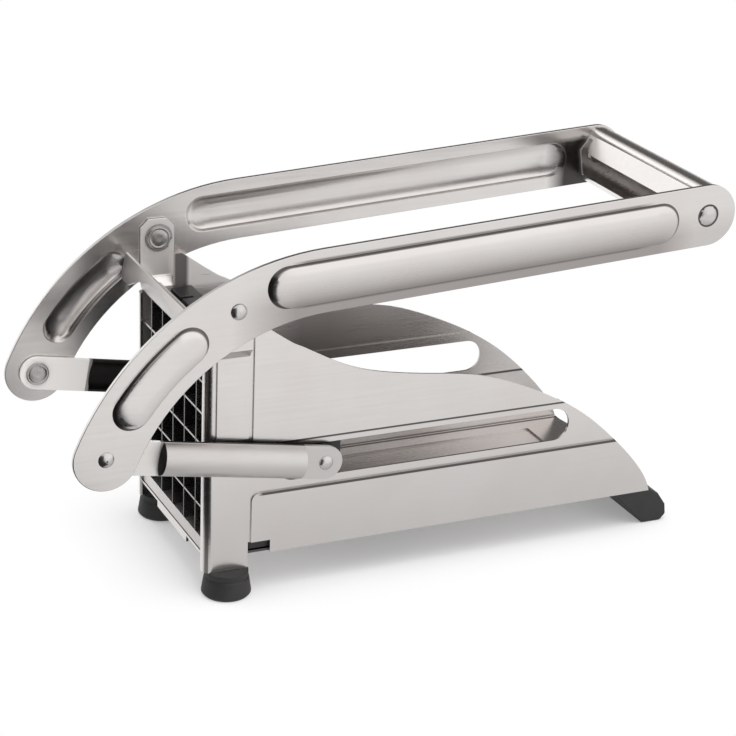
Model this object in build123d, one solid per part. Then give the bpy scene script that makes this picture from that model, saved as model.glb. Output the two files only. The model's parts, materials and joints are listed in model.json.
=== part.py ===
"""Lever-type french fry cutter: slotted sheet channel, lift-out blade cassette,
studded pusher, two connecting links and a two-armed handle.

Units are millimetres. +Z is up, +X is the right side, -Y is the blade end.
The origin is on the table, under the middle of the whole object.
"""
from build123d import *
import math
import os

# Blade grid
cell_pitch = 12.5
cells = 6
blade_thickness = 0.8
blade_depth = 8.0
grid_z = 59.3

# Clearances
slide_gap = 0.3
face_gap = 0.3
pin_gap = 0.05
boss_gap = 0.3
notch_gap = 0.05
edge_room = 0.5

# Sheet thicknesses and pressing depths
channel_sheet = 1.0
panel_raise = 0.8
arm_sheet = 1.8
link_sheet = 1.5
grip_sheet = 1.2
arm_rib_raise = 3.0
short_rib_half = 7.0
long_rib_half = 8.1

# Section of a pressed rib: share of its half width, pull of its ends, share of its height
rib_steps = (
    (1.0, 0.0, 0.0),
    (0.93, 1.2, 0.6),
    (0.78, 2.0, 0.77),
    (0.58, 2.8, 0.89),
    (0.36, 3.4, 0.965),
    (0.12, 3.8, 1.0),
)

# Channel
floor_z = 15.5
channel_rear = 109.2
wall_in = cells * cell_pitch / 2 + edge_room
wall_out = wall_in + channel_sheet
panel_out = wall_out + panel_raise
floor_top = floor_z + channel_sheet
post_front = -81.6
post_rear = -64.3
post_bottom = 10.0
post_top = 96.0
bend_radius = 3.4
flange_edge = 34.6
panel_front = -63.4
upper_panel_z = 60.2
lower_panel_z = 40.5
notch_rear = -55.7
stop_spread = 28.0
notch_z = 20.6
crest_top = 109.2
ear_lap = 3.2
tray_front = -50.0
tray_rear = 92.0
tray_margin = 6.5

# Top line of the wall from the rear corner to the front: shares of its length and height
crest_shape = (
    (0.000, 0.000),
    (0.029, 0.108),
    (0.100, 0.258),
    (0.184, 0.396),
    (0.276, 0.503),
    (0.372, 0.586),
    (0.470, 0.649),
    (0.581, 0.681),
    (0.691, 0.714),
    (0.792, 0.771),
    (0.893, 0.868),
    (1.000, 1.000),
)

# Slot for the pusher bosses
slot_z = 50.4
slot_radius = 6.7
slot_front = -46.6
slot_rear = 63.2

# Handle geometry in the side view
pivot_y = -71.85
pivot_z = 115.3
arm_radius = 95.8
arm_half = 12.2
arm_centre_y = -33.0
arm_centre_z = 27.7
crank_angle = 157.0
short_rib_first = 145.3
short_rib_last = 126.5
long_rib_front = -53.0
long_rib_rear = 100.1
rib_wall = 0.9
arm_slope = math.degrees(math.atan(0.0567))
grip_y = 121.2

# Pins and rivets
pin_radius = 2.6
dome_radius = 3.05
dome_height = 1.4
inner_head_radius = 4.5
inner_head_height = 0.8
grip_pin_radius = 2.4
grip_head_radius = 3.9
lip_reach = 8.0
lip_drop = 2.3
lip_gap = 3.2
lip_corner = 4.6
pusher_pin_radius = 3.0
link_rivet_radius = 2.0

# Links
link_half = 6.6
rib_start = 21.6
rib_end = 77.3
rib_bulge = 0.9
link_wall = 0.9

# Pull lip of the cassette
lip_rise = 13.6
apron_depth = 10.0

# Pusher
pusher_pin_y = -35.2
stud_front = -68.4
stud_length = 5.0
stud_size = 10.8
plate_rear = -59.6
cheek = 5.0

# Feet
foot_y = -71.85
foot_x = 36.7
foot_top_radius = 8.3
foot_base_radius = 9.5

# Side view of the rear foot: shares of its height, from the rear corner of the channel
rear_foot_shape = (
    (-1.006, 1.0),
    (-0.039, 0.0),
    (0.516, 0.0),
    (0.671, 0.168),
    (0.632, 0.452),
    (0.4, 0.787),
    (0.077, 1.0),
)

# Derived positions across the width
inner_head_in = panel_out + face_gap + 0.1
link_in = inner_head_in + inner_head_height + face_gap
link_out = link_in + link_sheet
arm_in = link_out + face_gap
arm_out = arm_in + arm_sheet
ear_out = arm_in - face_gap
ear_in = ear_out - channel_sheet

# Derived points in the side view
crank_y = arm_centre_y + arm_radius * math.cos(math.radians(crank_angle))
crank_z = arm_centre_z + arm_radius * math.sin(math.radians(crank_angle))
bend_angle = 90 + arm_slope
bend_y = arm_centre_y + arm_radius * math.cos(math.radians(bend_angle))
bend_z = arm_centre_z + arm_radius * math.sin(math.radians(bend_angle))
grip_z = bend_z + (grip_y - bend_y) * math.tan(math.radians(arm_slope))
link_length = math.hypot(pusher_pin_y - crank_y, slot_z - crank_z)
link_tilt = math.degrees(math.atan2(slot_z - crank_z, pusher_pin_y - crank_y))


def side_plate(face, x_from, x_to):
    """Extrude a side-view face, drawn as (y, z), between two x positions."""
    return extrude(Plane.YZ.offset(x_from) * face, amount=x_to - x_from)


def cross_pin(radius, x_from, x_to, y, z):
    """Round bar along x between two x positions."""
    bar = Cylinder(radius, x_to - x_from, rotation=(0, 90, 0))
    return Pos((x_from + x_to) / 2, y, z) * bar


def dome(radius, height, x, y, z):
    """Domed rivet head standing on the plane x and bulging towards +x."""
    ball_radius = (radius**2 + height**2) / (2 * height)
    half_turn = math.asin(radius / ball_radius) / 2
    middle = (
        height - ball_radius + ball_radius * math.cos(half_turn),
        ball_radius * math.sin(half_turn),
    )
    edges = [
        Line((0, 0), (0, radius)),
        ThreePointArc((0, radius), middle, (height, 0)),
        Line((height, 0), (0, 0)),
    ]
    return Pos(x, y, z) * revolve(make_face(edges), Axis.X, 360)


def box_between(x0, x1, y0, y1, z0, z1):
    """Axis-aligned block from its limits."""
    block = Box(x1 - x0, y1 - y0, z1 - z0)
    return Pos((x0 + x1) / 2, (y0 + y1) / 2, (z0 + z1) / 2) * block


def side_rect(y0, y1, z0, z1):
    """Side-view rectangle from its limits."""
    return Pos((y0 + y1) / 2, (z0 + z1) / 2) * Rectangle(y1 - y0, z1 - z0)


def slot_face(y0, z0, y1, z1, half):
    """Side-view slot with round ends around two centres."""
    length = math.hypot(y1 - y0, z1 - z0)
    angle = math.degrees(math.atan2(z1 - z0, y1 - y0))
    shape = SlotCenterToCenter(length, 2 * half)
    return Pos((y0 + y1) / 2, (z0 + z1) / 2) * Rot(0, 0, angle) * shape


def arc_point(radius, angle):
    """Point on a circle around the centre of the handle bend."""
    turn = math.radians(angle)
    return (arm_centre_y + radius * math.cos(turn), arm_centre_z + radius * math.sin(turn))


def both(shape):
    """A right-hand shape with its mirror image on the left."""
    return [shape, mirror(shape, about=Plane.YZ)]


def bundle(shapes):
    """Group of separate solids."""
    solids = []
    for shape in shapes:
        solids.extend(shape.solids())
    return Compound(solids)


def wall_outline():
    """Side view of one channel wall with its post, before the slot is cut."""
    length = channel_rear - panel_front
    height = crest_top - floor_z
    points = []
    for run, rise in crest_shape:
        points.append((channel_rear - run * length, floor_z + rise * height))
    crest = Spline(*points, tangents=[(-0.25, 1.0), (-0.86, 0.62)])
    rest = Polyline(
        (panel_front, crest_top),
        (panel_front - ear_lap, crest_top),
        (panel_front - ear_lap, post_top),
        (post_front + bend_radius, post_top),
        (post_front + bend_radius, post_bottom),
        (post_rear, post_bottom),
        (post_rear, notch_z),
        (notch_rear, notch_z),
        (notch_rear, floor_z),
        (channel_rear, floor_z),
    )
    return make_face([crest, rest])


def panel_pad(outline, y0, y1, z0, z1, round_near):
    """Raised panel: part of the wall outline with chosen corners rounded."""
    window = side_rect(y0, y1, z0, z1)
    corners = []
    for vertex in window.vertices():
        if (round(vertex.X, 3), round(vertex.Y, 3)) in round_near:
            corners.append(vertex)
    window = fillet(corners, 3.0)
    return outline & window


def right_wall():
    """Right wall, post and ear of the channel."""
    outline = wall_outline()
    wall = side_plate(outline, wall_in, wall_out)
    depth = panel_raise
    upper = panel_pad(
        outline, panel_front, 130, upper_panel_z, 130, [(panel_front, upper_panel_z)]
    )
    lower = panel_pad(
        outline, panel_front, 130, 0, lower_panel_z, [(panel_front, lower_panel_z)]
    )
    upper_in = panel_pad(
        outline,
        panel_front + depth,
        130,
        upper_panel_z + depth,
        130,
        [(panel_front + depth, upper_panel_z + depth)],
    )
    lower_in = panel_pad(
        outline,
        panel_front + depth,
        130,
        0,
        lower_panel_z - depth,
        [(panel_front + depth, lower_panel_z - depth)],
    )
    block_front = post_front + bend_radius + 0.5
    block = side_rect(block_front, post_rear - depth, upper_panel_z + 3, post_top)
    block_in = side_rect(
        block_front + depth, post_rear - 2 * depth, upper_panel_z + 3 + depth, post_top
    )
    for pad in (upper, lower, block):
        wall += side_plate(pad, wall_out, panel_out)
    for pocket in (upper_in, block_in):
        wall -= side_plate(pocket, wall_in - 1, wall_in + depth)
    low_pocket = side_plate(lower_in, wall_in - 1, wall_in + depth)
    wall -= low_pocket & box_between(0, 60, -200, 200, floor_top, 200)
    slot = slot_face(slot_front, slot_z, slot_rear, slot_z, slot_radius)
    wall -= side_plate(slot, wall_in - 2, panel_out + 2)
    return wall + front_bend() + ear() + cassette_stops()


def front_bend():
    """Rounded front edge of the post, turned inwards."""
    centre_x = wall_out - bend_radius
    centre_y = post_front + bend_radius
    diagonal = math.sqrt(0.5)
    inner = bend_radius - channel_sheet
    outer_arc = ThreePointArc(
        (wall_out, centre_y),
        (centre_x + bend_radius * diagonal, centre_y - bend_radius * diagonal),
        (centre_x, post_front),
    )
    inner_arc = ThreePointArc(
        (centre_x, post_front + channel_sheet),
        (centre_x + inner * diagonal, centre_y - inner * diagonal),
        (wall_in, centre_y),
    )
    edges = [
        outer_arc,
        Line((centre_x, post_front), (flange_edge, post_front)),
        Line((flange_edge, post_front), (flange_edge, post_front + channel_sheet)),
        Line((flange_edge, post_front + channel_sheet), (centre_x, post_front + channel_sheet)),
        inner_arc,
        Line((wall_in, centre_y), (wall_out, centre_y)),
    ]
    face = make_face(edges)
    return extrude(Plane.XY.offset(post_bottom) * face, amount=post_top - post_bottom)


def ear():
    """Joggled ear that carries the handle pivot."""
    top = pivot_z + 7.5
    base_in = panel_out - channel_sheet
    outline = Polyline(
        (base_in, post_top - 1),
        (base_in, post_top + 0.2),
        (ear_in, post_top + 4.0),
        (ear_in, top),
        (ear_out, top),
        (ear_out, post_top + 3.4),
        (panel_out, post_top - 0.2),
        (panel_out, post_top - 1),
        close=True,
    )
    strip = extrude(Plane.XZ.offset(65.4) * make_face(outline), amount=13.6)
    corners = strip.edges().filter_by(Axis.X).group_by(Axis.Z)[-1]
    strip = chamfer(corners, 3.2)
    return strip - cross_pin(pin_radius, 30, 60, pivot_y, pivot_z)


def cassette_stops():
    """Two small inward bumps behind the cassette."""
    stop_y = post_front + channel_sheet + slide_gap + blade_depth + slide_gap + 1.2
    stops = None
    for stop_z in (grid_z - stop_spread, grid_z + stop_spread):
        bump = cross_pin(1.2, wall_in - 1.0, wall_in + channel_sheet, stop_y, stop_z)
        stops = bump if stops is None else stops + bump
    return stops


def channel():
    """Whole pressed channel with floor, walls, posts and ears."""
    right = right_wall()
    body = right + mirror(right, about=Plane.YZ)
    floor_front = post_front + channel_sheet
    body += box_between(-wall_out, wall_out, notch_rear, channel_rear, floor_z, floor_top)
    body += box_between(-wall_in, wall_in, floor_front, notch_rear, floor_z, floor_top)
    half = wall_in - tray_margin
    tray = box_between(-half, half, tray_front, tray_rear, floor_z - panel_raise, floor_top)
    half -= panel_raise
    low = floor_top - panel_raise
    well_rear = tray_rear - panel_raise
    well = box_between(-half, half, tray_front + panel_raise, well_rear, low, floor_top + 2)
    body = body + tray - well
    body += box_between(-16.5, 16.5, floor_front, floor_front + 1, floor_z - 2.4, floor_top)
    tongues = box_between(wall_in, wall_out, foot_y - 4, foot_y + 4, 4.5, post_bottom)
    for tongue in both(tongues):
        body += tongue
    return body


def front_foot():
    """Tapered rubber foot with a slit for the tongue of the post."""
    outline = Polyline(
        (0, 0),
        (foot_base_radius - 1, 0),
        (foot_base_radius, 1.2),
        (foot_top_radius + 0.25, 7.2),
        (foot_top_radius - 0.3, 7.6),
        (foot_top_radius, 8.2),
        (foot_top_radius, post_bottom),
        (0, post_bottom),
        close=True,
    )
    face = Plane.XZ * make_face(outline)
    foot = Pos(foot_x, foot_y, 0) * revolve(face, Axis.Z, 360)
    return foot - box_between(wall_in, wall_out, foot_y - 4, foot_y + 4, 4.5, post_bottom)


def rear_foot():
    """Rubber strip under the rear edge of the floor."""
    points = []
    for run, rise in rear_foot_shape:
        points.append((channel_rear + run * floor_z, rise * floor_z))
    face = make_face(Polyline(*points, close=True))
    strip = side_plate(face, -wall_in, wall_in)
    tail = strip.edges().filter_by(Axis.X).sort_by(Axis.Y)[-3:]
    return fillet(tail, 1.4)


def pivot_rivet():
    """Right handle pivot: inner head on the ear, shank and outer dome."""
    head_x = arm_out + face_gap
    rivet = cross_pin(pin_radius, ear_in, head_x, pivot_y, pivot_z)
    rivet += cross_pin(inner_head_radius, ear_in - 1.0, ear_in, pivot_y, pivot_z)
    return rivet + dome(dome_radius, dome_height, head_x, pivot_y, pivot_z)


def cassette_frame():
    """Ring around the blades with a flared pull lip on top."""
    outer = wall_in - slide_gap
    inner = outer - 1.2
    front = post_front + channel_sheet + slide_gap
    rear = front + blade_depth
    low = floor_top + slide_gap
    half = cells * cell_pitch / 2
    top = grid_z + half + 1.6
    ring = box_between(-outer, outer, front, rear, low, top)
    ring -= box_between(-inner, inner, front - 1, rear + 1, grid_z - half, grid_z + half)
    section = Pos(0, (front + rear) / 2) * Rectangle(2 * outer, blade_depth)
    corners = section.vertices().group_by(Axis.Y)[0]
    section = fillet(corners, bend_radius - channel_sheet - slide_gap)
    ring &= extrude(Plane.XY.offset(low) * section, amount=top - low)
    lip = Polyline(
        (front, top - 1.6),
        (front + 1.2, top - 1.6),
        (front + 0.6, top + 4.0),
        (front - 5.2, top + lip_rise),
        (front - 6.2, top + lip_rise - 0.4),
        (front - 0.6, top + 3.4),
        close=True,
    )
    ring += side_plate(make_face(lip), -outer, outer)
    return ring + apron(front - 6.0, top + lip_rise)


def apron(fold_y, fold_z):
    """Turned-down front of the pull lip, arched along its lower edge."""
    reach = wall_in - slide_gap
    low = fold_z - apron_depth
    section = Polyline(
        (fold_y + 0.8, fold_z),
        (fold_y - 0.2, fold_z),
        (fold_y - 2.4, low),
        (fold_y - 1.4, low),
        close=True,
    )
    sheet = side_plate(make_face(section), -reach, reach)
    arch = ThreePointArc((-reach + 9, low), (0, fold_z - 2.4), (reach - 9, low))
    cutter = Plane.XZ * make_face([arch, Line((-reach + 9, low), (reach - 9, low))])
    sheet -= extrude(cutter, amount=200)
    corners = [edge for edge in sheet.edges().group_by(Axis.Z)[0].filter_by(Plane.YZ)]
    outer = [edge for edge in corners if abs(edge.center().X) > reach - 1]
    return fillet(outer, 4.0)


def upright_blade(index):
    """Blade standing along z, notched from behind."""
    half = cells * cell_pitch / 2
    front = post_front + channel_sheet + slide_gap
    x = (index - 3) * cell_pitch
    t = blade_thickness / 2
    blade = box_between(x - t, x + t, front, front + blade_depth, grid_z - half, grid_z + half)
    for row in range(1, cells):
        z = grid_z + (row - cells / 2) * cell_pitch
        gap = t + notch_gap
        middle = front + blade_depth / 2 - notch_gap
        blade -= box_between(x - 2, x + 2, middle, front + blade_depth + 1, z - gap, z + gap)
    return blade


def cross_blade(index):
    """Blade lying along x, notched from the front."""
    reach = wall_in - slide_gap - 1.2
    front = post_front + channel_sheet + slide_gap
    z = grid_z + (index - 3) * cell_pitch
    t = blade_thickness / 2
    blade = box_between(-reach, reach, front, front + blade_depth, z - t, z + t)
    for column in range(1, cells):
        x = (column - cells / 2) * cell_pitch
        gap = t + notch_gap
        middle = front + blade_depth / 2 + notch_gap
        blade -= box_between(x - gap, x + gap, front - 1, middle, z - 2, z + 2)
    return blade


def pusher_block():
    """Studded plastic block that rides in the channel and in the two slots."""
    side = wall_in - slide_gap - 0.1
    low = floor_top + slide_gap + 0.1
    plate_front = stud_front + stud_length
    high = grid_z + (cells - 1) * cell_pitch / 2 + stud_size / 2
    block = box_between(-side, side, plate_front, plate_rear, low, high)
    for row in range(cells):
        for column in range(cells):
            x = (column - (cells - 1) / 2) * cell_pitch
            z = grid_z + (row - (cells - 1) / 2) * cell_pitch
            block += box_between(
                x - stud_size / 2,
                x + stud_size / 2,
                stud_front,
                plate_front,
                z - stud_size / 2,
                z + stud_size / 2,
            )
    rear = pusher_pin_y + 8.0
    outline = Polyline(
        (plate_rear, low),
        (rear, low),
        (rear, slot_z + 6),
        (rear - 4, slot_z + 10),
        (plate_rear, high - 14),
        close=True,
    )
    profile = make_face(outline)
    for x_from in (-side, side - cheek, -cheek / 2):
        block += side_plate(profile, x_from, x_from + cheek)
    block += box_between(-side, side, plate_rear, rear, low, low + 3)
    boss_radius = slot_radius - boss_gap
    boss_end = wall_out + 0.4
    for boss in both(cross_pin(boss_radius, side - cheek, boss_end, pusher_pin_y, slot_z)):
        block += boss
    return block - cross_pin(pusher_pin_radius, -60, 60, pusher_pin_y, slot_z)


def pusher_pin():
    """Steel cross pin through the pusher, ending just inside the links."""
    reach = link_in - face_gap
    return cross_pin(pusher_pin_radius, -reach, reach, pusher_pin_y, slot_z)


def arm_outline():
    """Side view of one handle arm."""
    rise = math.radians(arm_slope)
    up = (-math.sin(rise) * arm_half, math.cos(rise) * arm_half)
    along = (math.cos(rise) * arm_half, math.sin(rise) * arm_half)
    far = math.radians(crank_angle + 90)
    crank_tip = (crank_y + arm_half * math.cos(far), crank_z + arm_half * math.sin(far))
    middle = (crank_angle + bend_angle) / 2
    outer = arm_radius + arm_half
    inner = arm_radius - arm_half
    top = (grip_y + up[0], grip_z + up[1])
    bottom = (grip_y - up[0], grip_z - up[1])
    end = (grip_y + along[0], grip_z + along[1])
    edges = [
        ThreePointArc(
            arc_point(outer, crank_angle), arc_point(outer, middle), arc_point(outer, bend_angle)
        ),
        Line(arc_point(outer, bend_angle), top),
        ThreePointArc(top, end, bottom),
        Line(bottom, arc_point(inner, bend_angle)),
        ThreePointArc(
            arc_point(inner, bend_angle), arc_point(inner, middle), arc_point(inner, crank_angle)
        ),
        ThreePointArc(arc_point(inner, crank_angle), crank_tip, arc_point(outer, crank_angle)),
    ]
    return make_face(edges)


def short_rib_outline(half, pull):
    """Curved rib on the bent part of the arm."""
    turn = math.degrees(pull / arm_radius)
    first = short_rib_first - turn
    last = short_rib_last + turn
    middle = (first + last) / 2
    start_tip = math.radians(first + 90)
    end_tip = math.radians(last - 90)
    start = arc_point(arm_radius, first)
    end = arc_point(arm_radius, last)
    outer = arm_radius + half
    inner = arm_radius - half
    edges = [
        ThreePointArc(arc_point(outer, first), arc_point(outer, middle), arc_point(outer, last)),
        ThreePointArc(
            arc_point(outer, last),
            (end[0] + half * math.cos(end_tip), end[1] + half * math.sin(end_tip)),
            arc_point(inner, last),
        ),
        ThreePointArc(arc_point(inner, last), arc_point(inner, middle), arc_point(inner, first)),
        ThreePointArc(
            arc_point(inner, first),
            (start[0] + half * math.cos(start_tip), start[1] + half * math.sin(start_tip)),
            arc_point(outer, first),
        ),
    ]
    return make_face(edges)


def long_rib_outline(half, pull):
    """Straight rib on the long part of the arm."""
    slope = math.tan(math.radians(arm_slope))
    y0 = long_rib_front + pull
    y1 = long_rib_rear - pull
    return slot_face(y0, bend_z + (y0 - bend_y) * slope, y1, bend_z + (y1 - bend_y) * slope, half)


def sloped_rib(outline, half, x_from):
    """Solid under one pressed rib, with sloping sides."""
    sections = []
    for width, pull, rise in rib_steps:
        face = outline(half * width, pull)
        sections.append(Plane.YZ.offset(x_from + rise * arm_rib_raise) * face)
    return loft(sections, ruled=True)


def arm():
    """Right handle arm with its two pressed ribs and three holes."""
    plate = side_plate(arm_outline(), arm_in, arm_out)
    for outline, half in ((short_rib_outline, short_rib_half), (long_rib_outline, long_rib_half)):
        plate += sloped_rib(outline, half, arm_out)
    for outline, half in ((short_rib_outline, short_rib_half), (long_rib_outline, long_rib_half)):
        plate -= sloped_rib(outline, half - rib_wall, arm_in)
    plate -= cross_pin(pin_radius + pin_gap, 0, 80, pivot_y, pivot_z)
    plate -= cross_pin(pin_radius, 0, 80, crank_y, crank_z)
    return plate - cross_pin(grip_pin_radius, 0, 80, grip_y, grip_z)


def grip_section():
    """Closed outline of the folded bar: round back, slanted front lip, small foot."""
    radius = arm_half - 0.6
    top = grip_z + radius
    foot = grip_z - radius
    lip_top = (grip_y - lip_reach / 2 + 0.8, top - 3.0)
    lip_end = (grip_y - lip_reach, grip_z + lip_drop)
    edges = [
        Line((grip_y, top), (grip_y - 1.2, top)),
        ThreePointArc((grip_y - 1.2, top), (grip_y - 2.5, top - 0.9), lip_top),
        Line(lip_top, lip_end),
        Line(lip_end, (grip_y - 6.2, foot + 3.2)),
        ThreePointArc(
            (grip_y - 6.2, foot + 3.2), (grip_y - 5.2, foot + 1.0), (grip_y - 3.0, foot)
        ),
        Line((grip_y - 3.0, foot), (grip_y, foot)),
        ThreePointArc((grip_y, foot), (grip_y + radius, grip_z), (grip_y, top)),
    ]
    return make_face(edges)


def grip_bar():
    """Folded sheet bar with a mouth along its front side and a tab at each end."""
    outer = grip_section()
    hollow = offset(outer, -grip_sheet)
    bar = side_plate(outer, -arm_in, arm_in)
    bar -= side_plate(hollow, -arm_in + grip_sheet, arm_in - grip_sheet)
    front = grip_y - arm_half
    back = grip_y - 2.6
    lip_end = arm_in - grip_sheet - lip_gap
    mouth_top = grip_z + lip_drop
    mouth_foot = grip_z - arm_half + 3.8
    bar -= box_between(-lip_end, lip_end, front, back, mouth_foot, mouth_top)
    relief = box_between(
        lip_end, arm_in - grip_sheet, front, back, mouth_foot, grip_z + 7.2
    )
    corner = box_between(
        lip_end - lip_corner, lip_end, front, back, mouth_top - 1, mouth_top + lip_corner
    )
    round_end = Cylinder(lip_corner, 2 * arm_half, rotation=(90, 0, 0))
    centre = (lip_end - lip_corner, grip_y, mouth_top + lip_corner)
    corner -= Pos(*centre) * round_end
    for cut in both(relief):
        bar -= cut
    for cut in both(corner):
        bar -= cut
    return bar - cross_pin(grip_pin_radius, -60, 60, grip_y, grip_z)


def grip_rivet():
    """Right grip rivet through the arm and the end tab of the bar."""
    rivet = cross_pin(grip_pin_radius, arm_in - grip_sheet, arm_out, grip_y, grip_z)
    rivet += cross_pin(3.5, arm_in - grip_sheet - 1.0, arm_in - grip_sheet, grip_y, grip_z)
    return rivet + dome(grip_head_radius, 1.6, arm_out, grip_y, grip_z)


def crank_rivet():
    """Right crank rivet: fixed in the arm, running in the front eye of the link."""
    start = link_in - face_gap
    rivet = cross_pin(pin_radius, start, arm_out, crank_y, crank_z)
    rivet += cross_pin(inner_head_radius, start - inner_head_height, start, crank_y, crank_z)
    return rivet + dome(dome_radius, dome_height, arm_out, crank_y, crank_z)


def place_link(shape):
    """Move a link drawn along +y from the origin onto the crank pin."""
    return Pos(0, crank_y, crank_z) * Rot(link_tilt, 0, 0) * shape


def half_capsule(radius, start, end, bulge):
    """Half-round bar along y with slightly bulged ends, on the outer side of the link."""
    bow = radius * 0.7
    edges = [
        Line((0, start - bulge), (0, end + bulge)),
        ThreePointArc((0, end + bulge), (bow, end + bulge * 0.6), (radius, end)),
        Line((radius, end), (radius, start)),
        ThreePointArc((radius, start), (bow, start - bulge * 0.6), (0, start - bulge)),
    ]
    bar = revolve(make_face(edges), Axis.Y, 360)
    return Pos(link_in, 0, 0) * (bar & box_between(0, 60, start - 9, end + 9, -20, 20))


def link():
    """Right link: two flat eyes joined by a pressed half-round rib, hollow on its inner side."""
    shape = side_plate(slot_face(0, 0, link_length, 0, link_half), link_in, link_out)
    shape += half_capsule(link_half, rib_start, rib_end, rib_bulge)
    pocket_radius = link_half - link_wall
    pocket_start = rib_start + link_wall / 2
    pocket_end = rib_end - link_wall / 2
    shape -= half_capsule(pocket_radius, pocket_start, pocket_end, rib_bulge)
    shape -= cross_pin(pin_radius + pin_gap, 0, 80, 0, 0)
    shape -= cross_pin(link_rivet_radius, 0, 80, link_length, 0)
    return place_link(shape)


def link_rivet():
    """Right rivet head at the rear eye, riding with the link."""
    rivet = cross_pin(link_rivet_radius, link_in, link_out, link_length, 0)
    return place_link(rivet + dome(2.9, dome_height, link_out, link_length, 0))


def write(name, shape):
    """Write one node."""
    export_step(shape, "parts/" + name + ".step")


def main():
    os.makedirs("parts", exist_ok=True)
    write("channel", channel())
    right_foot = front_foot()
    write("foot_right", right_foot)
    write("foot_left", mirror(right_foot, about=Plane.YZ))
    write("foot_rear", rear_foot())
    write("pivot_rivets", bundle(both(pivot_rivet())))
    write("cassette_frame", cassette_frame())
    for index in range(1, cells):
        write("blade_v" + str(index), upright_blade(index))
        write("blade_h" + str(index), cross_blade(index))
    write("pusher_block", pusher_block())
    write("pusher_pin", pusher_pin())
    right_arm = arm()
    write("arm_right", right_arm)
    write("arm_left", mirror(right_arm, about=Plane.YZ))
    write("grip_bar", grip_bar())
    write("grip_rivets", bundle(both(grip_rivet())))
    write("crank_rivets", bundle(both(crank_rivet())))
    right_link = link()
    write("link_right", right_link)
    write("link_left", mirror(right_link, about=Plane.YZ))
    right_rivet = link_rivet()
    write("link_rivet_right", right_rivet)
    write("link_rivet_left", mirror(right_rivet, about=Plane.YZ))


main()
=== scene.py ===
"""Lever-type french fry cutter: finishes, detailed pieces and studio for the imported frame."""
import json
import math

import bmesh
import bpy
from bpy.props import FloatProperty, FloatVectorProperty, PointerProperty
from mathutils import Matrix, Vector


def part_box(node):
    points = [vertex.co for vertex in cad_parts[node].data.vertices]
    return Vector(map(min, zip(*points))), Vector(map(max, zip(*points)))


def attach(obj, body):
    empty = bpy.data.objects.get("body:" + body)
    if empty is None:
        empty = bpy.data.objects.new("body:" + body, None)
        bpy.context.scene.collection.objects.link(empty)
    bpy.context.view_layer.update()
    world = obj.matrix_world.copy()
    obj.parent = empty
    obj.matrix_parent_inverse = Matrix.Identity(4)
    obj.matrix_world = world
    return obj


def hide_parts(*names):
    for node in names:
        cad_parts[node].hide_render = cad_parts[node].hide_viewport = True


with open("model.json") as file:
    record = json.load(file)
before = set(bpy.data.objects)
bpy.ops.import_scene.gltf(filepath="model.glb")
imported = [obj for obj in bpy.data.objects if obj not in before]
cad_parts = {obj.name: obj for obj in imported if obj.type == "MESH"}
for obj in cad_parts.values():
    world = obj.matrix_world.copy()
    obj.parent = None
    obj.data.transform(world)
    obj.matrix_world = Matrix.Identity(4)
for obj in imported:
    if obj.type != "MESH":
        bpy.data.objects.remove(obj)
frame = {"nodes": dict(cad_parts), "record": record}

bl_info = {
    "name": "French fry cutter",
    "version": (1, 0, 0),
    "blender": (4, 5, 0),
    "location": "View3D > Sidebar > Fry cutter",
    "description": "Detailed pieces, finishes and studio of a lever-type french fry cutter",
    "category": "Object",
}

MM = 0.001
WHITE = (1.0, 1.0, 1.0, 1.0)
BLACK = (0.0, 0.0, 0.0, 1.0)
UP = Vector((0.0, 0.0, 1.0))


# ------------------------------------------------------------------- places


def middle_of(node):
    """Middle of a node's box, in metres."""
    low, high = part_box(node)
    return (low + high) * 0.5


GRIP_PIN = middle_of("grip_rivets")
LINK_FRONT = middle_of("crank_rivets")
LINK_REAR = middle_of("link_rivet_left")

# Where the painted light and shade on the finishes change, in millimetres in the frame's
# axes, with X counted from the middle plane. A step is a pair: the change starts at one
# end and is done at the other.
# Limits are a pair too, with the change just outside them.

# Channel: inner side of the walls, tray, raised panels and corners
WALL_INNER_STEP = (38.84, 38.94)
WALL_OUTER_STEP = (38.95, 38.98)
# Painted shade on the inner side of the channel: where it starts, where it fades towards the
# open rear, and the share of it left there
INSIDE_SHADE_FRONT_STEP = (-42.0, -12.0)
INSIDE_SHADE_REAR_STEP = (0.0, 85.0)
INSIDE_SHADE_REAR_SHARE = 0.1
TRAY_HEIGHT = (16.9, 22.0)
TRAY_SOFT = 2.0
TRAY_SHARE = 0.8
PANEL_TOP_EDGE = (59.2, 60.1)
PANEL_LOW_EDGE = (39.5, 40.4)
PANEL_SOFT = 0.2
PANEL_START_STEP = (-61.0, -59.0)
POCKET_HEIGHT = (40.5, 41.3)
POCKET_ACROSS = (37.9, 38.85)
POCKET_SOFT = 0.05
POCKET_START_STEP = (62.0, 66.0)
CORNER_HEIGHT = (15.0, 16.8)
CORNER_ACROSS = (37.2, 38.3)
CORNER_START_STEP = (-79.0, -78.0)

# Ears and front posts
EAR_STEP = (41.4, 41.6)
EAR_CORNER = (-66.0, -61.5)
EAR_CORNER_SOFT = 1.5
NEAR_EARS_STEP = (-42.0, -20.0)
UPPER_WALL_STEP = (92.0, 96.0)
UPPER_WALL_ACROSS = (37.5, 41.0)
UPPER_WALL_SOFT = 0.4
POST_FRONT_STEP = (-80.5, -80.0)
POST_FOLD = (-80.9, -80.0)
POST_SIDE_STEP = (37.0, 37.6)

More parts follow.
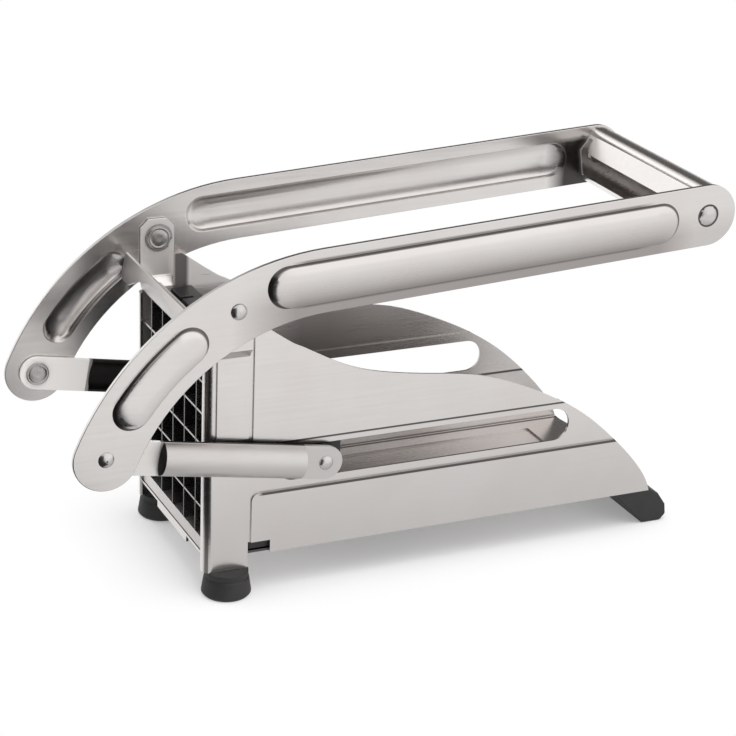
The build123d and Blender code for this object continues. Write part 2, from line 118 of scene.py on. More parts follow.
# Arms: the middle line of the straight part, given by one of its points and its slope
ARM_LINE_Y = -38.42
ARM_LINE_Z = 123.35
ARM_LINE_SLOPE = 0.0567
ARM_INNER_STEP = (42.9, 43.0)
ARM_OUTER_STEP = (44.3, 44.7)
ARM_FACE_STEPS = ((44.5, 44.7), (44.93, 45.05))
RIB_WALL_STEPS = ((44.93, 45.05), (46.1, 46.7))
RIB_FOOT_STEPS = ((7.9, 8.2), (8.5, 9.2))
RIB_RUN_STEPS = ((-52.0, -46.0), (90.0, 97.0))
RIB_CREASE_SHARE = 0.75
UNDERSIDE_STEP = (-6.5, 3.0)
UNDERSIDE_RUN_STEPS = ((-75.0, -50.0), (100.0, 116.0))
UNDERSIDE_REAR_SHARE = 0.35
ARM_CORNER_STEP = (99.0, 107.0)
ARM_CORNER_TOP_STEP = (6.5, 9.0)

# Painted shade in the gap round the heads of the grip rivets, as radii
GRIP_GAP = (3.4, 4.45)
GRIP_GAP_SOFT = 0.25

# Links: distances along them from the front eye
LINK_FLAT_STEP = (20.2, 20.5)
LINK_MOUTH = (20.3, 21.7)
LINK_MOUTH_SOFT = 0.15
LINK_HOLLOW = (21.8, 77.2)
LINK_OUTER_STEP = (42.85, 42.95)

# Directions of faces: X part of their normals times X, and the Y part alone
OUTWARD_STEP = (0.0, 1.0)
FORWARD_STEP = (-0.97, -0.9)
SLANTED_STEP = (-0.5, -0.3)


# ---------------------------------------------------------------- materials

NOISE_ROUGHNESS = 0.55


class Flow:
    """One socket of a node graph. Arithmetic on it adds the matching Math nodes."""

    def __init__(self, graph, socket):
        self.graph = graph
        self.socket = socket

    def _math(self, operation, first, second=0.0):
        settings = {"operation": operation}
        return self.graph.add("ShaderNodeMath", settings, {0: first, 1: second})

    def __add__(self, other):
        return self._math("ADD", self, other)

    def __radd__(self, other):
        return self._math("ADD", other, self)

    def __sub__(self, other):
        return self._math("SUBTRACT", self, other)

    def __rsub__(self, other):
        return self._math("SUBTRACT", other, self)

    def __mul__(self, other):
        return self._math("MULTIPLY", self, other)

    def __pow__(self, other):
        return self._math("POWER", self, other)

    def __abs__(self):
        return self._math("ABSOLUTE", self)

    def clamp(self):
        return self.graph.add("ShaderNodeClamp", {}, {"Value": self})


class Graph:
    """A node tree, with short calls that add and link its nodes."""

    def __init__(self, tree):
        self.tree = tree

    def add(self, kind, settings, links, output=0):
        """Add a node with its settings and inputs, and give one of its outputs."""
        node = self.tree.nodes.new(kind)
        for key, value in settings.items():
            setattr(node, key, value)
        for key, value in links.items():
            self.feed(node.inputs[key], value)
        return Flow(self, node.outputs[output])

    def feed(self, socket, value):
        """Link a flow to a socket, or write a plain value into it."""
        if isinstance(value, Flow):
            self.tree.links.new(value.socket, socket)
        else:
            socket.default_value = value

    def spread(self, value, low, high, to_low=0.0, to_high=1.0):
        """Value carried from one range to another, held at the ends."""
        values = {"Value": value, "From Min": low, "From Max": high}
        values["To Min"] = to_low
        values["To Max"] = to_high
        return self.add("ShaderNodeMapRange", {"clamp": True}, values)


class Finish(Graph):
    """A node material with one Principled shader."""

    def __init__(self, name):
        self.material = bpy.data.materials.new(name)
        self.material.use_nodes = True
        super().__init__(self.material.node_tree)
        self.shader = self.tree.nodes["Principled BSDF"]
        self.ends = self.tree.nodes["Material Output"]

    def set(self, **values):
        """Feed the shader's inputs, named with underscores for spaces."""
        for key, value in values.items():
            self.feed(self.shader.inputs[key.replace("_", " ")], value)

    def place(self, scale):
        """Object coordinates, stretched."""
        spot = self.add("ShaderNodeTexCoord", {}, {}, "Object")
        return self.add("ShaderNodeMapping", {}, {"Vector": spot, "Scale": scale})

    def noise(self, scale, detail=3.0):
        """Noise with the given repeats per metre along each axis."""
        values = {"Vector": self.place(scale), "Scale": 1.0, "Detail": detail}
        values["Roughness"] = NOISE_ROUGHNESS
        return self.add("ShaderNodeTexNoise", {}, values)

    def axis(self, letter):
        """One object coordinate, in metres."""
        spot = self.add("ShaderNodeTexCoord", {}, {}, "Object")
        return self.add("ShaderNodeSeparateXYZ", {}, {"Vector": spot}, letter)

    def facing(self, letter):
        """One part of the face's normal."""
        turned = self.add("ShaderNodeTexCoord", {}, {}, "Normal")
        return self.add("ShaderNodeSeparateXYZ", {}, {"Vector": turned}, letter)

    def blend(self, factor, first, second):
        """One colour carried into another by a factor."""
        settings = {"data_type": "RGBA"}
        return self.add("ShaderNodeMix", settings, {0: factor, 6: first, 7: second}, 2)

    def bump(self, height, strength, distance):
        """Fine relief, with its full depth in metres."""
        values = {"Height": height, "Strength": strength, "Distance": distance}
        self.set(Normal=self.add("ShaderNodeBump", {}, values))


def even(scale):
    """The same number of repeats along each axis."""
    return (scale, scale, scale)


def colour(value, factor=1.0):
    """Opaque colour, lighter or darker by a factor."""
    return (value[0] * factor, value[1] * factor, value[2] * factor, 1.0)


def tinted(value, tint):
    """Colour with each of its parts scaled."""
    return [part * share for part, share in zip(value, tint)]


def swing(noise, width):
    """Noise as a swing about zero."""
    return (noise - 0.5) * width


def rise(value, step):
    """0 before a step and 1 past it."""
    return value.graph.spread(value, step[0] * MM, step[1] * MM)


def fall(value, step, least=0.0):
    """1 before a step and the least share past it."""
    return value.graph.spread(value, step[0] * MM, step[1] * MM, 1.0, least)


def between(value, steps, least=0.0):
    """1 between a rising and a falling step."""
    return rise(value, steps[0]) * fall(value, steps[1], least)


def band(value, limits, soft=0.3):
    """1 between two limits, with soft edges outside them."""
    start, end = limits
    return between(value, ((start - soft, start), (end, end + soft)))


# ----------------------------------------------- zones of painted light and shade: 1 inside, 0 elsewhere


def outer_side(finish):
    """Faces that look away from the middle of the object."""
    return rise(finish.facing("X") * finish.axis("X"), OUTWARD_STEP)


def inner_side(finish):
    """All other faces."""
    return 1.0 - outer_side(finish)


def channel_inside_shade(finish):
    """Painted shade on the inner side of the channel, fading towards its open rear."""
    along = finish.axis("Y")
    walls = fall(abs(finish.axis("X")), WALL_INNER_STEP)
    run = rise(along, INSIDE_SHADE_FRONT_STEP) * fall(along, INSIDE_SHADE_REAR_STEP, INSIDE_SHADE_REAR_SHARE)
    tray = band(finish.axis("Z"), TRAY_HEIGHT, TRAY_SOFT)
    return walls * run * (1.0 - tray * TRAY_SHARE)


def panel_crease_shade(finish):
    """Painted shade along the raised panels' creases and where the floor turns up into the
    walls.
    """
    across = abs(finish.axis("X"))
    along = finish.axis("Y")
    up = finish.axis("Z")
    outer = band(up, PANEL_TOP_EDGE, PANEL_SOFT) + band(up, PANEL_LOW_EDGE, PANEL_SOFT)
    outer = outer * rise(across, WALL_OUTER_STEP) * rise(along, PANEL_START_STEP)
    pocket = band(up, POCKET_HEIGHT, PANEL_SOFT) * rise(along, POCKET_START_STEP)
    pocket = pocket * band(across, POCKET_ACROSS, POCKET_SOFT)
    corner = band(across, CORNER_ACROSS) * band(up, CORNER_HEIGHT)
    corner = corner * rise(along, CORNER_START_STEP)
    return (outer + pocket + corner).clamp()


def ear_inside_light(finish):
    """Painted light on the inner side of the ears."""
    return rise(abs(finish.axis("X")), EAR_STEP) * inner_side(finish)


def wall_front_inside(finish):
    """Upper inner side of the walls near the ears: painted light, and the bounds of the painted
    shade by the ears.
    """
    front = fall(finish.axis("Y"), NEAR_EARS_STEP) * rise(finish.axis("Z"), UPPER_WALL_STEP)
    sides = band(abs(finish.axis("X")), UPPER_WALL_ACROSS, UPPER_WALL_SOFT)
    return front * sides * inner_side(finish)


def ear_shade(finish):
    """Corner between the walls and the ears."""
    return wall_front_inside(finish) * band(finish.axis("Y"), EAR_CORNER, EAR_CORNER_SOFT)


def post_front_light(finish):
    """Painted light on the flanges of the posts, which face forward."""
    ahead = finish.spread(finish.facing("Y"), *FORWARD_STEP, 1.0, 0.0)
    return ahead * fall(finish.axis("Y"), POST_FRONT_STEP)


def post_bend_shade(finish):
    """Painted shade in the folds between the posts and their flanges."""
    sides = rise(abs(finish.axis("X")), POST_SIDE_STEP)
    return band(finish.axis("Y"), POST_FOLD) * sides * outer_side(finish)


def above_arm_line(finish):
    """Height above the middle line of the arm's straight part, in metres."""
    run = (finish.axis("Y") - ARM_LINE_Y * MM) * ARM_LINE_SLOPE
    return finish.axis("Z") - ARM_LINE_Z * MM - run


def rib_wall_shade(finish):
    """Painted shade on the steep walls of the pressed ribs and in the crease along the long rib.
    """
    across = abs(finish.axis("X"))
    wall = between(across, RIB_WALL_STEPS) * outer_side(finish)
    crease = between(abs(above_arm_line(finish)), RIB_FOOT_STEPS)
    crease = crease * between(finish.axis("Y"), RIB_RUN_STEPS)
    crease = crease * between(across, ARM_FACE_STEPS)
    return (wall + crease * RIB_CREASE_SHARE).clamp()


def rib_underside_shade(finish):
    """Painted shade on the lower half of the straight part's outer side."""
    low = fall(above_arm_line(finish), UNDERSIDE_STEP)
    run = between(finish.axis("Y"), UNDERSIDE_RUN_STEPS, UNDERSIDE_REAR_SHARE)
    outer = outer_side(finish) * rise(abs(finish.axis("X")), ARM_OUTER_STEP)
    return low * run * outer


def arm_corner_shade(finish):
    """Painted shade on the inner side of the arms between the long rib and the grip."""
    along = rise(finish.axis("Y"), ARM_CORNER_STEP)
    low = fall(above_arm_line(finish), ARM_CORNER_TOP_STEP)
    sides = rise(abs(finish.axis("X")), ARM_INNER_STEP)
    return along * low * sides * inner_side(finish)


def rivet_gap_shade(finish):
    """Painted shade in the narrow gap round the outer heads of the grip rivets."""
    along = finish.axis("Y") - GRIP_PIN.y
    up = finish.axis("Z") - GRIP_PIN.z
    ring = band((along ** 2.0 + up ** 2.0) ** 0.5, GRIP_GAP, GRIP_GAP_SOFT)
    return ring * outer_side(finish)


def grip_lip_light(finish):
    """Painted light on the slanted front lip of the grip."""
    return finish.spread(finish.facing("Y"), *SLANTED_STEP, 1.0, 0.0)


def link_run(finish):
    """Distance along the links from their front eyes, in metres."""
    run, climb = (LINK_REAR - LINK_FRONT).yz.normalized()
    along = (finish.axis("Y") - LINK_FRONT.y) * run
    return along + (finish.axis("Z") - LINK_FRONT.z) * climb


def link_flat(finish):
    """Painted light on the flat front part of the links."""
    return fall(link_run(finish), LINK_FLAT_STEP)


def link_inner_flat_light(finish):
    """Stronger painted light on the inner side of that flat part."""
    return link_flat(finish) * inner_side(finish)


def link_hollow_shade(finish):
    """Painted shade in the hollow on the inner side of the links' ribs."""
    return band(link_run(finish), LINK_HOLLOW) * inner_side(finish)


def link_mouth_shade(finish):
    """Painted shade on the front ends of the links' ribs."""
    sides = rise(abs(finish.axis("X")), LINK_OUTER_STEP)
    return band(link_run(finish), LINK_MOUTH, LINK_MOUTH_SOFT) * sides


# Zones of painted light and shade on each sheet finish: share of the sheet's tone, above 1
# for painted light and below 1 for painted shade, and how metallic they are
GRIP_ZONES = ((grip_lip_light, 1.3, 1.0),)
CHANNEL_ZONES = (
    (channel_inside_shade, 0.42, 1.0),
    (panel_crease_shade, 0.16, 1.0),
    (wall_front_inside, 1.3, 0.4),
    (ear_inside_light, 1.1, 0.5),
    (ear_shade, 0.25, 1.0),
    (post_front_light, 1.25, 0.4),
    (post_bend_shade, 0.3, 1.0),
)
ARM_ZONES = (
    (rib_underside_shade, 0.5, 1.0),
    (rib_wall_shade, 0.2, 1.0),
    (rivet_gap_shade, 0.12, 1.0),
    (arm_corner_shade, 0.1, 1.0),
)
LINK_ZONES = (
    (link_flat, 1.45, 1.0),
    (link_inner_flat_light, 1.62, 0.1),
    (link_hollow_shade, 0.1, 1.0),
    (link_mouth_shade, 0.08, 1.0),
)


# ----------------------------------------------------------------- finishes

STREAKS = (900.0, 30.0, 900.0)
FINE_STREAKS = (2340.0, 78.0, 2340.0)
STREAK_RANGE = (0.3, 0.75)
STREAK_TONE = 0.88
STREAK_SHARE = 0.2
CLOUDS = 26.0
CLOUD_RANGE = (0.35, 0.7)
CLOUD_TINT = (0.96, 0.935, 0.93)
# Warm tint of the painted shade zones
PAINTED_SHADE_TINT = (1.0, 0.96, 0.95)
ZONE_ROUGHNESS = 0.06
GRAIN_DEPTH = 0.0002
MOULD_DEPTH = 0.0003


def satin_steel(name, tone, roughness, zones=()):
    """Brushed sheet: fine streaks, soft clouds of handling, and zones of painted light and
    shade.
    """
    finish = Finish(name)
    streak = finish.noise(STREAKS, 2.0)
    fine = finish.noise(FINE_STREAKS, 1.0)
    cloud = finish.noise(even(CLOUDS))
    handled = colour(tinted(tone, CLOUD_TINT))
    base = finish.blend(finish.spread(cloud, *CLOUD_RANGE), colour(tone), handled)
    lines = finish.spread(streak, *STREAK_RANGE) * STREAK_SHARE
    base = finish.blend(lines, base, colour(tone, STREAK_TONE))
    rough = roughness + swing(streak, 0.12) + swing(cloud, 0.08)
    metal = 1.0
    # Each zone paints light or shade into the colour: painted shade below a share of 1, painted
    # light above it
    for zone, share, metallic in zones:
        mask = zone(finish)
        shade = tinted(tone, PAINTED_SHADE_TINT) if share < 1.0 else tone
        base = finish.blend(mask, base, colour(shade, share))
        rough = rough + mask * ZONE_ROUGHNESS
        if metallic < 1.0:
            metal = metal - mask * (1.0 - metallic)
    finish.set(Base_Color=base, Metallic=metal, Roughness=rough.clamp())
    finish.bump(streak * 0.6 + fine * 0.4, 0.05, GRAIN_DEPTH)
    return finish.material


def polished_steel(name, tone, roughness):
    """Rivets and pins, with faint turning marks."""
    finish = Finish(name)
    cloud = finish.noise(even(90.0))
    speck = finish.noise(even(1800.0), 2.0)
    base = finish.blend(finish.spread(cloud, *CLOUD_RANGE), colour(tone), colour(tone, 0.86))
    rough = roughness + swing(cloud, 0.16)
    finish.set(Base_Color=base, Metallic=1.0, Roughness=rough.clamp())
    finish.bump(speck, 0.08, GRAIN_DEPTH)
    return finish.material


def ground_blade(name, tone):
    """Blade strip, ground across its depth."""
    finish = Finish(name)
    lines = finish.noise((2400.0, 60.0, 2400.0), 2.0)
    base = finish.blend(finish.spread(lines, 0.3, 0.7), colour(tone), colour(tone, 0.8))
    rough = 0.26 + swing(lines, 0.2)
    finish.set(Base_Color=base, Metallic=1.0, Roughness=rough.clamp())
    finish.bump(lines, 0.1, GRAIN_DEPTH)
    return finish.material


def moulded_black(name, tone, roughness, grain, relief):
    """Rubber or plastic with a fine moulded grain and slightly dusty high spots."""
    finish = Finish(name)
    fine = finish.noise(even(grain))
    cloud = finish.noise(even(60.0))
    base = finish.blend(finish.spread(cloud, 0.4, 0.75), colour(tone), colour(tone, 1.8))
    rough = roughness + swing(cloud, 0.2) + swing(fine, 0.1)
    finish.set(Base_Color=base, Roughness=rough.clamp())
    finish.bump(fine, relief, MOULD_DEPTH)
    return finish.material


# ------------------------------------------------------------------ objects


def new_object(name, data):
    """New object in the scene, at the origin."""
    made = bpy.data.objects.new(name, data)
    bpy.context.scene.collection.objects.link(made)
    return made


def write_mesh(shape, mesh):
    """Write a bmesh into a mesh and free it."""
    shape.to_mesh(mesh)
    shape.free()


def stage_piece(name, shape, material):
    """Part of the stage, made of a bmesh."""
    made = new_object(name, bpy.data.meshes.new(name))
    write_mesh(shape, made.data)
    made.data.materials.append(material)
    return made


# ------------------------------------------------------------------- studio

FLOOR_SIZE = 6.0
FLOOR_TONE = (0.9, 0.9, 0.9, 1.0)
SHADOW_REACH = 0.2
SHADOW_START = 0.1
SHADOW_CURVE = 0.6

SKY_TINT = (1.0, 0.995, 0.99)

# Soft patches of sky: compass angle, height, inner and outer radius in degrees, and gain
SKY_PATCHES = (
    (40.0, 25.0, 30.0, 65.0, 0.42),
    (150.0, 35.0, 15.0, 40.0, -0.35),
    (-150.0, 12.0, 8.0, 20.0, 0.5),
)

# Lamps: place, aim, side and power
LAMPS = (
    ("lamp_top", (0.25, 0.15, 1.3), (0.0, 0.0, 0.05), 1.2, 9.0),
    ("lamp_left", (-0.9, -0.9, 0.9), (0.0, 0.0, 0.08), 0.9, 4.0),
)

# Boards: section as distances and heights, compass angles of both ends, and brightness
CARDS = (
    ("card_front", ((0.09, 0.0008), (0.9, 0.0008), (0.9, 0.7)), -122.0, -22.0, 0.01),
    ("card_far", ((0.9, 0.19), (0.9, 0.4), (0.45, 0.8)), 125.0, 175.0, 0.12),
)
CARD_CENTRE = (0.0, -0.05, 0.0)
CARD_STEPS = 24
CARD_TINT = (1.0, 0.95, 0.92)

# Table patch: lift over the floor, full shade up to a radius, and its end as a share
TABLE_LIFT = 0.0004
TABLE_FULL_SHADE = 0.06
TABLE_FADE_END = 0.9
TABLE_STRETCH = (1.0, 0.45, 1.0)
TABLE_TONE = (0.02, 0.02, 0.02, 1.0)
TABLE_SEGMENTS = 64

# Camera: distances in metres, angles in degrees, lens in millimetres
CAMERA = {
    "target": (-0.0001, 0.0004, 0.0675),
    "distance": 0.87214,
    "around": 64.94,
    "height": 21.82,
    "roll": 2.41,
    "lens": 108.92,
}


def floor_finish(name, half_width, half_length, middle, fade):
    """Pale floor that keeps a shadow near the object and turns plain white further out."""
    finish = Finish(name)
    across = abs(finish.axis("X"))
    across = finish.spread(across, half_width, half_width + SHADOW_REACH, 0.0, SHADOW_REACH)
    along = abs(finish.axis("Y") - middle)
    along = finish.spread(along, half_length, half_length + SHADOW_REACH, 0.0, SHADOW_REACH)
    reach = (across * across + along * along) ** 0.5
    away = finish.spread(reach, 0.0, fade, SHADOW_START, 1.0) ** SHADOW_CURVE
    finish.set(Base_Color=FLOOR_TONE, Roughness=1.0, Specular_IOR_Level=0.0)
    glow = finish.add("ShaderNodeEmission", {}, {"Color": WHITE, "Strength": 1.0})
    plain = Flow(finish, finish.shader.outputs[0])
    mixed = finish.add("ShaderNodeMixShader", {}, {0: away, 1: plain, 2: glow})
    finish.feed(finish.ends.inputs["Surface"], mixed)
    return finish.material


def softbox(name, place, aim, side, power):
    """Square lamp pointed at a spot, which the metal doesn't mirror."""
    lamp = bpy.data.lights.new(name, "AREA")
    lamp.shape = "RECTANGLE"
    lamp.size = side
    lamp.size_y = side
    lamp.energy = power
    holder = new_object(name, lamp)
    holder.location = place
    line = Vector(aim) - Vector(place)
    holder.rotation_euler = line.to_track_quat("-Z", "Y").to_euler()
    holder.visible_glossy = False


def heading(around, height):
    """Unit vector towards a compass angle from +X and a height, in degrees."""
    turn = math.radians(around)
    rising = math.radians(height)
    level = math.cos(rising)
    return (level * math.cos(turn), level * math.sin(turn), math.sin(rising))


def studio_sky(base):
    """World light: an even base with soft brighter or darker patches."""
    world = bpy.data.worlds.new("studio_sky")
    bpy.context.scene.world = world
    world.use_nodes = True
    sky = Graph(world.node_tree)
    sky.tree.nodes.clear()
    level = base
    spot = sky.add("ShaderNodeTexCoord", {}, {}, "Generated")
    for around, height, inner, outer, gain in SKY_PATCHES:
        values = {0: spot, 1: heading(around, height)}
        close = sky.add("ShaderNodeVectorMath", {"operation": "DOT_PRODUCT"}, values, "Value")
        near = math.cos(math.radians(inner))
        far = math.cos(math.radians(outer))
        level = level + sky.spread(close, far, near) * gain
    parts = {letter: level * share for letter, share in zip("XYZ", SKY_TINT)}
    tint = sky.add("ShaderNodeCombineXYZ", {}, parts)
    light = sky.add("ShaderNodeBackground", {}, {"Color": tint, "Strength": 1.0})
    plain = sky.add("ShaderNodeBackground", {}, {"Color": WHITE, "Strength": 1.0})
    seen = sky.add("ShaderNodeLightPath", {}, {}, "Is Camera Ray")
    both = sky.add("ShaderNodeMixShader", {}, {0: seen, 1: light, 2: plain})
    out = sky.tree.nodes.new("ShaderNodeOutputWorld")
    sky.feed(out.inputs["Surface"], both)


def only_in_reflections(made):
    """Hide a board from everything but the metal's reflections."""
    made.visible_camera = False
    made.visible_diffuse = False
    made.visible_shadow = False


def studio_card(name, section, start, end, level):
    """Curved dark board round the table."""
    centre = Vector(CARD_CENTRE)
    shape = bmesh.new()
    points = []
    for reach, height in section:
        point = centre + Vector(heading(start, 0.0)) * reach + UP * height
        points.append(shape.verts.new(point))
    edges = [shape.edges.new(pair) for pair in zip(points, points[1:])]
    bmesh.ops.spin(
        shape,
        geom=points + edges,
        cent=centre,
        axis=UP,
        angle=math.radians(end - start),
        steps=CARD_STEPS,
        use_merge=False,
    )
    finish = Finish(name)
    finish.set(Base_Color=BLACK, Roughness=1.0, Specular_IOR_Level=0.0)
    finish.set(Emission_Color=colour(CARD_TINT, level), Emission_Strength=1.0)
    only_in_reflections(stage_piece(name, shape, finish.material))


def table_shade(name, reach, depth):
    """Soft darker patch of table round the object."""
    shape = bmesh.new()
    bmesh.ops.create_circle(shape, cap_ends=True, segments=TABLE_SEGMENTS, radius=reach)
    bmesh.ops.translate(shape, verts=shape.verts, vec=UP * TABLE_LIFT)
    finish = Finish(name)
    spot = finish.place(TABLE_STRETCH)
    away = finish.add("ShaderNodeVectorMath", {"operation": "LENGTH"}, {0: spot}, "Value")
    shade = finish.spread(away, TABLE_FULL_SHADE, reach * TABLE_FADE_END, depth, 0.0)
    clear = finish.add("ShaderNodeBsdfTransparent", {}, {})
    dark = finish.add("ShaderNodeEmission", {}, {"Color": TABLE_TONE, "Strength": 1.0})
    mixed = finish.add("ShaderNodeMixShader", {}, {0: shade, 1: clear, 2: dark})
    finish.feed(finish.ends.inputs["Surface"], mixed)
    only_in_reflections(stage_piece(name, shape, finish.material))


def camera_at(target, distance, around, height, roll, lens):
    """Camera on a sphere around a target, turned by its roll. Its angle starts at -Y."""
    out = Vector(heading(around - 90.0, height))
    lean = math.radians(roll)
    right = (-out).cross(UP).normalized()
    up = right.cross(-out)
    across = right * math.cos(lean) + up * math.sin(lean)
    above = up * math.cos(lean) - right * math.sin(lean)
    data = bpy.data.cameras.new("studio_camera")
    data.lens = lens
    data.sensor_width = 36.0
    data.clip_end = 50.0
    eye = new_object("studio_camera", data)
    turn = Matrix((across, above, out)).transposed().to_4x4()
    eye.matrix_world = Matrix.Translation(Vector(target) + out * distance) @ turn
    bpy.context.scene.camera = eye


# ------------------------------------------------------------------- solids

MERGE_DISTANCE = 0.00001
FLAT_ANGLE = math.radians(0.5)
SHADING_ANGLE = math.radians(40.0)
FACE_WEIGHT = 100


def cleaned_copy(node, name):
    """Merged and simplified copy of one node's solid, as a new object."""
    piece = new_object(name, bpy.data.meshes.new(name))
    shape = bmesh.new()
    shape.from_mesh(frame["nodes"][node].data)
    bmesh.ops.remove_doubles(shape, verts=shape.verts, dist=MERGE_DISTANCE)
    bmesh.ops.dissolve_limit(
        shape,
        angle_limit=FLAT_ANGLE,
        verts=shape.verts,
        edges=shape.edges,
        delimit={"NORMAL"},
    )
    return piece, shape


def soften(shape, width, sharp=35.0, segments=2):
    """Round every edge sharper than an angle in degrees, by a width in millimetres."""
    edges = []
    for edge in shape.edges:
        if len(edge.link_faces) == 2 and edge.calc_face_angle() > math.radians(sharp):
            edges.append(edge)
    bmesh.ops.bevel(
        shape,
        geom=edges,
        offset=width * MM,
        offset_type="OFFSET",
        affect="EDGES",
        segments=segments,
        profile=0.5,
        material=-1,
        clamp_overlap=True,
    )


def finish_piece(piece, shape, finish, body, node):
    """Write the mesh, shade it, tie the piece to its body, and hide the node it stands for."""
    write_mesh(shape, piece.data)
    for polygon in piece.data.polygons:
        polygon.use_smooth = True
    piece.data.set_sharp_from_angle(angle=SHADING_ANGLE)
    normals = piece.modifiers.new("even_faces", "WEIGHTED_NORMAL")
    normals.weight = FACE_WEIGHT
    normals.keep_sharp = True
    piece.data.materials.append(bpy.data.materials[finish])
    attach(piece, body)
    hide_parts(node)


def dress(node, material):
    """Give a carried-over node its finish."""
    target = frame["nodes"][node]
    if not target.material_slots:
        target.data.materials.append(material)
    for slot in target.material_slots:
        slot.material = material


# ----------------------------------------------------------------- settings


class CutterColours(bpy.types.PropertyGroup):
    """Colours of the fry cutter's finishes."""

    sheet: FloatVectorProperty(
        name="Sheet", description="Tone of the satin sheet", subtype="COLOR", size=3,
        min=0.0, max=1.0, default=(0.71, 0.687, 0.673)
    )
    lip: FloatVectorProperty(
        name="Lip", description="Tone of the cassette's frame and pull lip", subtype="COLOR",
        size=3, min=0.0, max=1.0, default=(0.9, 0.88, 0.865)
    )
    bright: FloatVectorProperty(
        name="Bright", description="Tone of rivets, pins and blades", subtype="COLOR", size=3,
        min=0.0, max=1.0, default=(0.62, 0.60, 0.59)
    )
    rubber: FloatVectorProperty(
        name="Rubber", description="Tone of the feet", subtype="COLOR", size=3,
        min=0.0, max=1.0, default=(0.016, 0.015, 0.015)
    )
    plastic: FloatVectorProperty(
        name="Plastic", description="Tone of the pusher", subtype="COLOR", size=3,
        min=0.0, max=1.0, default=(0.012, 0.012, 0.012)
    )


class CutterSizes(bpy.types.PropertyGroup):
    """Edge rounding and light."""

    edge: FloatProperty(
        name="Edges", description="Factor on the rounding of every edge", subtype="FACTOR",
        min=0.1, max=1.5, default=1.0
    )
    sky: FloatProperty(
        name="Sky", description="Strength of the world light", min=0.0, default=0.8
    )


# ---------------------------------------------------------------- operators

LINK_TONE_SHARE = 0.85
# Painted shade on the upright blades of the grid: the same blade steel, darkened by this share
UPRIGHT_SHADE_SHARE = 0.3


class CUTTER_OT_stage(bpy.types.Operator):
    """Floor, lamps, boards, world and camera"""

    bl_idname = "cutter.stage"
    bl_label = "Stage"

    def execute(self, context):
        context.scene.view_settings.view_transform = "Standard"
        ground = bmesh.new()
        bmesh.ops.create_grid(ground, x_segments=1, y_segments=1, size=FLOOR_SIZE)
        pale = floor_finish(
            "studio_floor", half_width=0.036, half_length=0.1, middle=0.022, fade=0.038
        )
        stage_piece("studio_floor", ground, pale)
        studio_sky(context.scene.cutter_sizes.sky)
        for lamp in LAMPS:
            softbox(*lamp)
        for card in CARDS:
            studio_card(*card)
        table_shade("table_shade", reach=0.26, depth=0.3)
        camera_at(**CAMERA)
        return {"FINISHED"}


class CUTTER_OT_finishes(bpy.types.Operator):
    """Finishes, given to every carried-over node"""

    bl_idname = "cutter.finishes"
    bl_label = "Finishes"

    def execute(self, context):
        tones = context.scene.cutter_colours
        link_tone = [part * LINK_TONE_SHARE for part in tones.sheet]
        upright_shaded_tone = [part * UPRIGHT_SHADE_SHARE for part in tones.bright]
        sheet = satin_steel("satin_sheet", tones.sheet, 0.24, GRIP_ZONES)
        satin_steel("satin_channel", tones.sheet, 0.24, CHANNEL_ZONES)
        satin_steel("satin_arm", tones.sheet, 0.24, ARM_ZONES)
        satin_steel("satin_link", link_tone, 0.42, LINK_ZONES)
        satin_steel("satin_lip", tones.lip, 0.4)
        rubber = moulded_black("foot_rubber", tones.rubber, 0.55, grain=1500.0, relief=0.25)
        plastic = moulded_black("pusher_plastic", tones.plastic, 0.38, grain=2200.0, relief=0.12)
        table = {
            "steel": sheet,
            "rivet": polished_steel("rivet_steel", tones.bright, 0.26),
            "blade": ground_blade("blade_steel", tones.bright),
            "rubber": rubber,
            "plastic": plastic,
        }
        # The upright blades get a copy of the blade finish with painted shade
        upright = ground_blade("blade_upright", upright_shaded_tone)
        for part in frame["record"]["subparts"]:
            stands = part["node"].startswith("blade_v")
            dress(part["node"], upright if stands else table[part["material_slot"]])
        return {"FINISHED"}


# Node, body, finish, and rounding of the edges in millimetres
SHEET_PIECES = (
    ("channel", "frame", "satin_channel", 0.25),
    ("cassette_frame", "cassette", "satin_lip", 0.2),
    ("arm_left", "handle", "satin_arm", 0.25),
    ("arm_right", "handle", "satin_arm", 0.25),
    ("grip_bar", "handle", "satin_sheet", 0.2),
    ("link_left", "link_left", "satin_link", 0.25),
    ("link_right", "link_right", "satin_link", 0.25),
)


class CUTTER_OT_sheet(bpy.types.Operator):
    """Folded and pressed sheet pieces with their edges broken"""

    bl_idname = "cutter.sheet"
    bl_label = "Sheet pieces"

    def execute(self, context):
        edge = context.scene.cutter_sizes.edge
        for node, body, finish, width in SHEET_PIECES:
            piece, shape = cleaned_copy(node, node + "_sheet")
            soften(shape, width * edge)
            finish_piece(piece, shape, finish, body, node)
        return {"FINISHED"}


RIVET_PIECES = (
    ("pivot_rivets", "frame"),
    ("crank_rivets", "handle"),
    ("grip_rivets", "handle"),
    ("link_rivet_left", "link_left"),
    ("link_rivet_right", "link_right"),
)

# Flat inner heads: their least area in square millimetres, and how far they face sideways
HEAD_AREA = 24.0
HEAD_SIDEWAYS = 0.99

# Ring and dimple on them, as widths and depths in millimetres, and the eased rim
HEAD_STEPS = ((0.9, 0.0), (0.25, -0.22), (0.25, 0.22), (2.1, 0.0), (0.2, -0.15))
RIM_WIDTH = 0.15


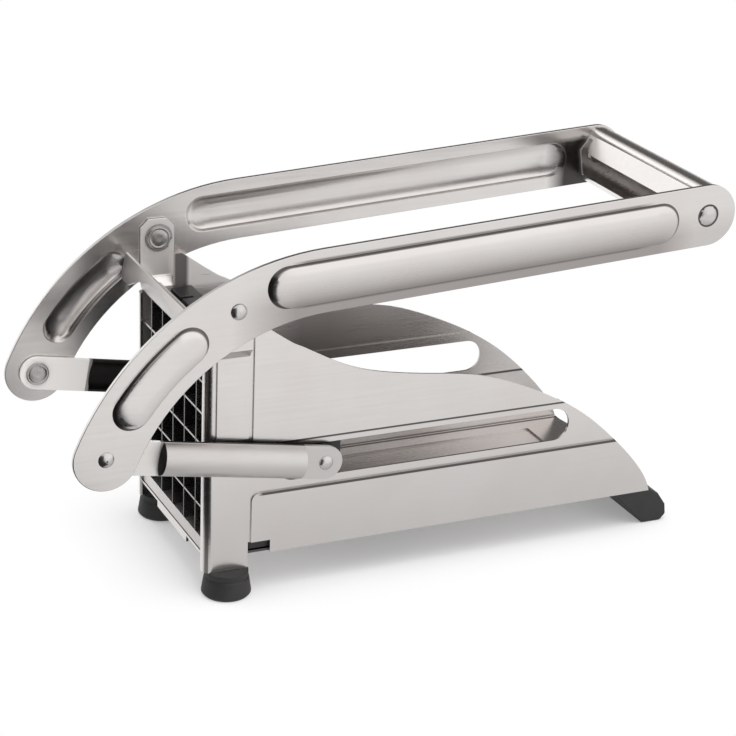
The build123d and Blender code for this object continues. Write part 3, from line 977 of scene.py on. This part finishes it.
class CUTTER_OT_rivets(bpy.types.Operator):
    """Rivets with eased rims, and a dimple and ring on their flat inner heads"""

    bl_idname = "cutter.rivets"
    bl_label = "Rivets"

    def execute(self, context):
        edge = context.scene.cutter_sizes.edge
        for node, body in RIVET_PIECES:
            piece, shape = cleaned_copy(node, node + "_turned")
            heads = []
            for face in shape.faces:
                wide = face.calc_area() > HEAD_AREA * MM * MM
                if wide and abs(face.normal.x) > HEAD_SIDEWAYS:
                    heads.append(face)
            if heads:
                for width, depth in HEAD_STEPS:
                    bmesh.ops.inset_individual(
                        shape, faces=heads, thickness=width * MM, depth=depth * MM
                    )
            soften(shape, RIM_WIDTH * edge, sharp=50.0)
            finish_piece(piece, shape, "rivet_steel", body, node)
        return {"FINISHED"}


# Node, body, slot, finish, and rounding of the edges in millimetres
MOULDED_PIECES = (
    ("foot_left", "frame", "rubber", "foot_rubber", 0.6),
    ("foot_right", "frame", "rubber", "foot_rubber", 0.6),
    ("foot_rear", "frame", "rubber", "foot_rubber", 0.8),
    ("pusher_block", "pusher", "plastic", "pusher_plastic", 0.3),
)


class CUTTER_OT_moulded(bpy.types.Operator):
    """Rubber feet and plastic pusher with rounded edges"""

    bl_idname = "cutter.moulded"
    bl_label = "Moulded pieces"

    def execute(self, context):
        edge = context.scene.cutter_sizes.edge
        for node, body, slot, finish, width in MOULDED_PIECES:
            piece, shape = cleaned_copy(node, node + "_moulded")
            soften(shape, width * edge, sharp=30.0, segments=3)
            finish_piece(piece, shape, finish, body, node)
        return {"FINISHED"}


class CUTTER_PT_panel(bpy.types.Panel):
    """Builds the pieces of the fry cutter"""

    bl_idname = "CUTTER_PT_panel"
    bl_label = "Fry cutter"
    bl_space_type = "VIEW_3D"
    bl_region_type = "UI"
    bl_category = "Fry cutter"

    def draw(self, context):
        for step in STEPS:
            self.layout.operator(step.bl_idname)


STEPS = (
    CUTTER_OT_stage, CUTTER_OT_finishes, CUTTER_OT_sheet, CUTTER_OT_rivets, CUTTER_OT_moulded
)
CLASSES = (CutterColours, CutterSizes, *STEPS, CUTTER_PT_panel)


def register():
    for entry in CLASSES:
        bpy.utils.register_class(entry)
    bpy.types.Scene.cutter_colours = PointerProperty(type=CutterColours)
    bpy.types.Scene.cutter_sizes = PointerProperty(type=CutterSizes)


def unregister():
    del bpy.types.Scene.cutter_sizes
    del bpy.types.Scene.cutter_colours
    for entry in reversed(CLASSES):
        bpy.utils.unregister_class(entry)


def main():
    register()
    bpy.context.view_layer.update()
    for step in STEPS:
        group, action = step.bl_idname.split(".")
        getattr(getattr(bpy.ops, group), action)()


if __name__ == "__main__":
    main()
